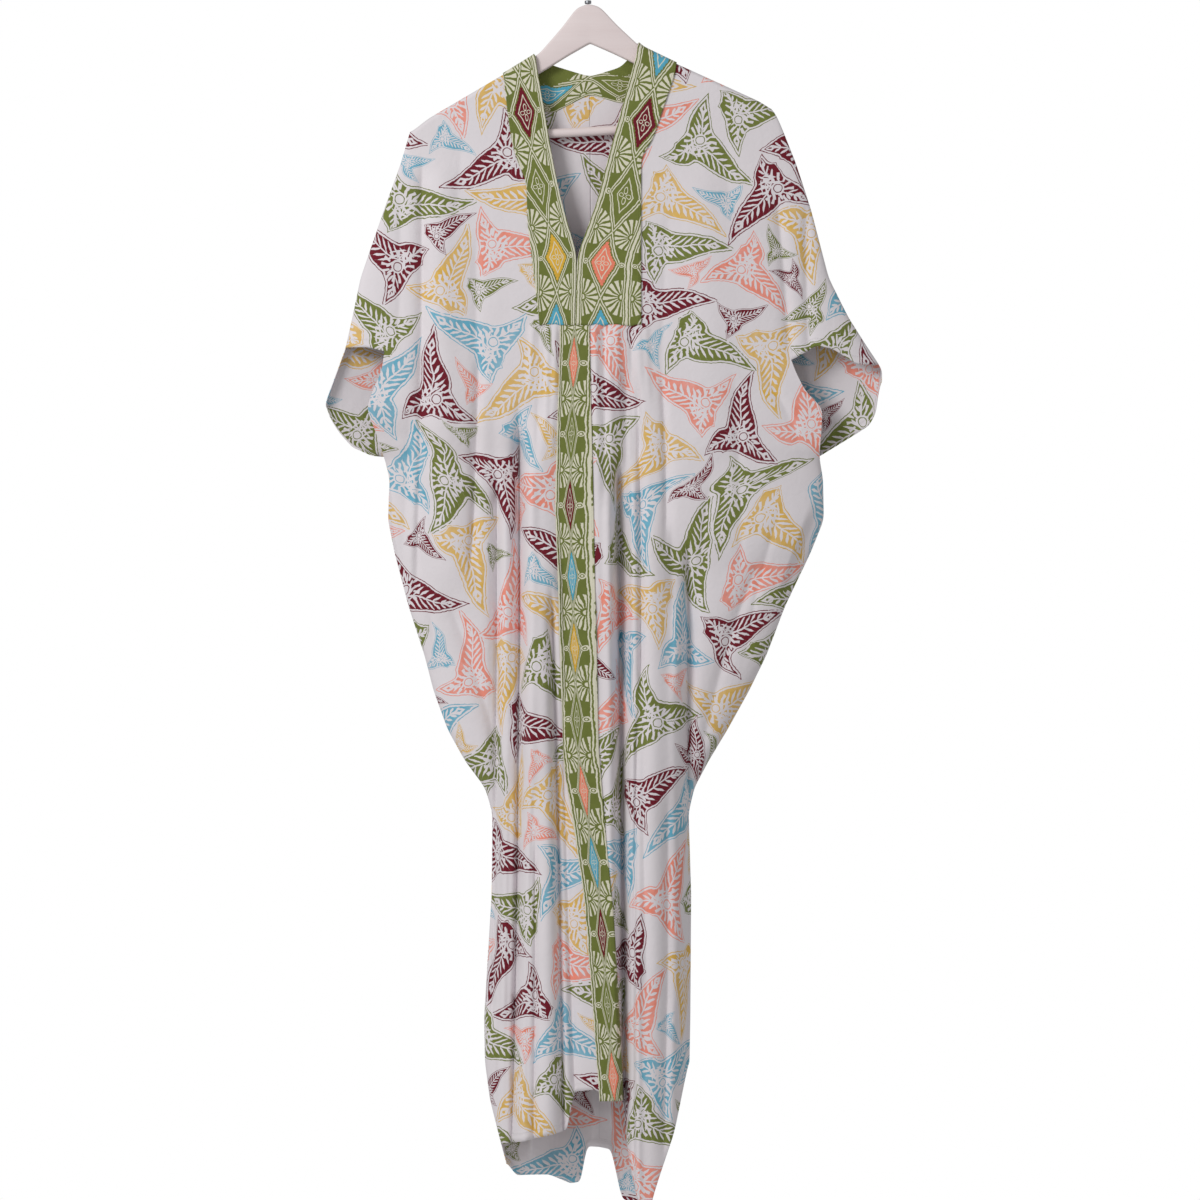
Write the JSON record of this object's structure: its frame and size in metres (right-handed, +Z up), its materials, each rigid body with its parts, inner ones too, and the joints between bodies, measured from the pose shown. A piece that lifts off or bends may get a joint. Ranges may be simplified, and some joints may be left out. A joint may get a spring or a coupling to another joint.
{
  "type": "kaftan dress on a hanger",
  "caption": "Full-length open-front batik kaftan with wide grown-on sleeves, border-print neck bands and placket, hanging on a wooden hanger with a metal hook.",
  "frame": {"origin": "inside of the hook's crown, where the hook hangs on its rail", "axes": "+Z up, the dress's front faces -Y, +X is to the viewer's right when looking at the front"},
  "size_m": [0.6724, 0.0992, 1.514],
  "materials": {
    "batik_cloth": "thin printed rayon, plain weave, soft sheen",
    "border_cloth": "thin printed rayon, plain weave, soft sheen",
    "hanger_wood": "pale whitewashed wood, satin",
    "hook_metal": "satin steel"
  },
  "bodies": {
    "root": {"front_left": "batik_cloth", "front_right": "batik_cloth", "back_left": "batik_cloth", "back_right": "batik_cloth", "band_left": "border_cloth", "band_right": "border_cloth", "band_back": "border_cloth", "placket": "border_cloth", "hanger_board": "hanger_wood", "hanger_bar": "hanger_wood", "hanger_ferrule": "hook_metal", "hanger_hook": "hook_metal"}
  },
  "joints": []
}
